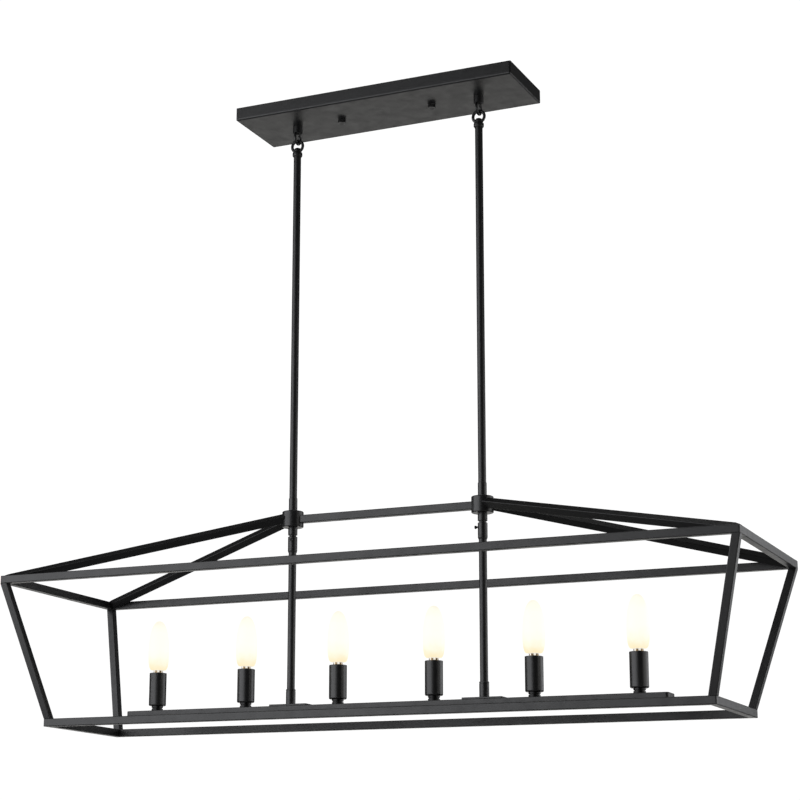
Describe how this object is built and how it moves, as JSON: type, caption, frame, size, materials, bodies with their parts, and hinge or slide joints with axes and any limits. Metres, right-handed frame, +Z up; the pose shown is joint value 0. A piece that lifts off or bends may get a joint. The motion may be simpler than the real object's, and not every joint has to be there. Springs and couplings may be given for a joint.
{
  "type": "linear island pendant",
  "caption": "Long pendant lantern: two linked rods from a rectangular canopy hold a roof-shaped cage of square tube with a bar of candle lamps inside.",
  "frame": {"origin": "middle of the mounting strap's upper face, in the ceiling plane", "axes": "+X along the length, +Y to the rear, +Z up into the ceiling"},
  "size_m": [1.24, 0.35, 1.0465],
  "materials": {
    "dark_bronze": "satin, powder coated",
    "holder_black": "satin",
    "zinc_steel": "zinc plated",
    "ground_green": "dyed green",
    "socket_resin": "moulded, matt",
    "socket_brass": "plain",
    "bulb_glass": "frosted, lit"
  },
  "bodies": {
    "ceiling_mount": {"canopy": "dark_bronze", "mounting_strap": "zinc_steel", "strap_studs": "zinc_steel", "ground_screw": "ground_green", "canopy_loop_left": "dark_bronze", "canopy_loop_right": "dark_bronze", "loop_nipples": "zinc_steel", "loop_lock_nuts": "zinc_steel"},
    "cap_nut_left": {"canopy_nut_left": "dark_bronze"},
    "cap_nut_right": {"canopy_nut_right": "dark_bronze"},
    "lantern": {"rod_loop_left": "dark_bronze", "rod_loop_right": "dark_bronze", "upper_rod_left": "dark_bronze", "upper_rod_right": "dark_bronze", "rod_ferrules": "dark_bronze", "hub_left": "dark_bronze", "hub_right": "dark_bronze", "hub_nipples": "zinc_steel", "hub_stubs": "dark_bronze", "ridge_bar": "dark_bronze", "hip_front_left": "dark_bronze", "hip_front_right": "dark_bronze", "hip_rear_left": "dark_bronze", "hip_rear_right": "dark_bronze", "upper_rail_front": "dark_bronze", "upper_rail_rear": "dark_bronze", "upper_rail_left": "dark_bronze", "upper_rail_right": "dark_bronze", "post_front_left": "dark_bronze", "post_front_right": "dark_bronze", "post_rear_left": "dark_bronze", "post_rear_right": "dark_bronze", "lower_rail_front": "dark_bronze", "lower_rail_rear": "dark_bronze", "lower_rail_left": "dark_bronze", "lower_rail_right": "dark_bronze", "coupler_left": "dark_bronze", "coupler_right": "dark_bronze", "lower_rod_left": "dark_bronze", "lower_rod_right": "dark_bronze", "rod_feet": "dark_bronze", "foot_plates": "dark_bronze", "lamp_bar": "dark_bronze", "lamp_bar_cover": "dark_bronze", "bar_nipples": "zinc_steel", "bar_nuts": "zinc_steel", "cover_nuts": "zinc_steel", "holder_necks": "holder_black", "candle_sleeves": "holder_black", "socket_bodies": "socket_resin", "socket_shells": "socket_brass", "socket_contacts": "socket_brass"},
    "screw_left": {"thumb_screw_left": "dark_bronze"},
    "screw_right": {"thumb_screw_right": "dark_bronze"},
    "lamp_1": {"bulb_1": "bulb_glass"},
    "lamp_2": {"bulb_2": "bulb_glass"},
    "lamp_3": {"bulb_3": "bulb_glass"},
    "lamp_4": {"bulb_4": "bulb_glass"},
    "lamp_5": {"bulb_5": "bulb_glass"},
    "lamp_6": {"bulb_6": "bulb_glass"}
  },
  "joints": [
    {"name": "lantern_swing", "type": "hinge", "parent": "ceiling_mount", "child": "lantern", "pos_m": [0, 0, -0.048], "axis": [1, 0, 0], "range_deg": [-45, 45]},
    {"name": "cap_nut_turn_left", "type": "hinge", "parent": "ceiling_mount", "child": "cap_nut_left", "pos_m": [-0.083, 0, -0.0255], "axis": [0, 0, 1], "continuous": true},
    {"name": "cap_nut_turn_right", "type": "hinge", "parent": "ceiling_mount", "child": "cap_nut_right", "pos_m": [0.083, 0, -0.0255], "axis": [0, 0, 1], "continuous": true},
    {"name": "screw_turn_left", "type": "hinge", "parent": "lantern", "child": "screw_left", "pos_m": [-0.167, 0, -0.7458], "axis": [0.2924, -0.9563, 0], "continuous": true},
    {"name": "screw_turn_right", "type": "hinge", "parent": "lantern", "child": "screw_right", "pos_m": [0.167, 0, -0.7458], "axis": [-1, 0, 0], "continuous": true},
    {"name": "bulb_turn_1", "type": "hinge", "parent": "lantern", "child": "lamp_1", "pos_m": [-0.415, 0, -0.946], "axis": [0, 0, 1], "continuous": true},
    {"name": "bulb_turn_2", "type": "hinge", "parent": "lantern", "child": "lamp_2", "pos_m": [-0.249, 0, -0.946], "axis": [0, 0, 1], "continuous": true},
    {"name": "bulb_turn_3", "type": "hinge", "parent": "lantern", "child": "lamp_3", "pos_m": [-0.083, 0, -0.946], "axis": [0, 0, 1], "continuous": true},
    {"name": "bulb_turn_4", "type": "hinge", "parent": "lantern", "child": "lamp_4", "pos_m": [0.083, 0, -0.946], "axis": [0, 0, 1], "continuous": true},
    {"name": "bulb_turn_5", "type": "hinge", "parent": "lantern", "child": "lamp_5", "pos_m": [0.249, 0, -0.946], "axis": [0, 0, 1], "continuous": true},
    {"name": "bulb_turn_6", "type": "hinge", "parent": "lantern", "child": "lamp_6", "pos_m": [0.415, 0, -0.946], "axis": [0, 0, 1], "continuous": true}
  ]
}
